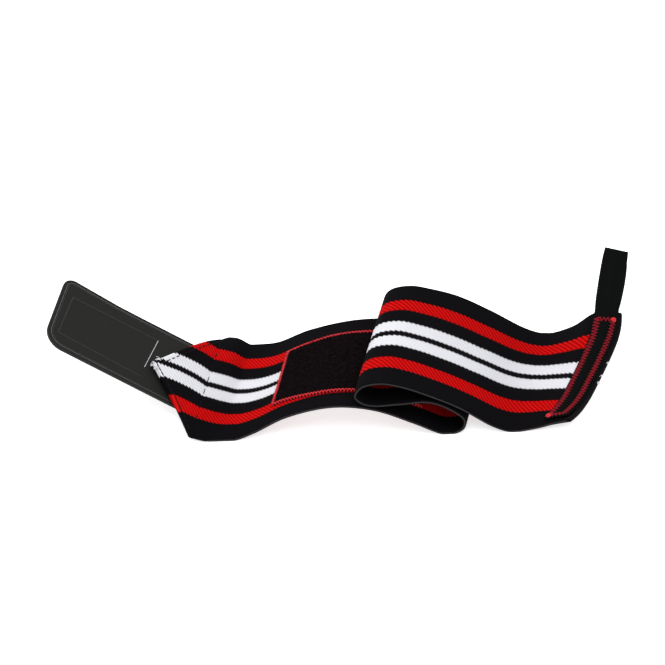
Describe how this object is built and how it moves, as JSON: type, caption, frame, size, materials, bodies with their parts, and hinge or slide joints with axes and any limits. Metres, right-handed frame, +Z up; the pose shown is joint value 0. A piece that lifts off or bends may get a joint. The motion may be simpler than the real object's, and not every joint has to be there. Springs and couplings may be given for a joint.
{
  "type": "wrist wrap",
  "caption": "Lifting wrist wrap laid loosely folded: striped woven elastic with a pointed end on a rubbery hook tab, a pile pad and a narrow elastic thumb loop.",
  "frame": {"origin": "centre of the bounding box at the table plane the wrap lies on", "axes": "+X along the wrap from the hook tab to the thumb loop end, +Y across the band toward the thumb loop, +Z up"},
  "size_m": [0.3096, 0.1634, 0.0494],
  "materials": {
    "woven_elastic": "matte",
    "pile": "matte",
    "tab_rubber": "matte",
    "ribbed_elastic": "matte"
  },
  "bodies": {
    "root": {"elastic_band": "woven_elastic", "loop_pad": "pile", "hook_tab": "tab_rubber", "thumb_elastic": "ribbed_elastic"}
  },
  "joints": []
}
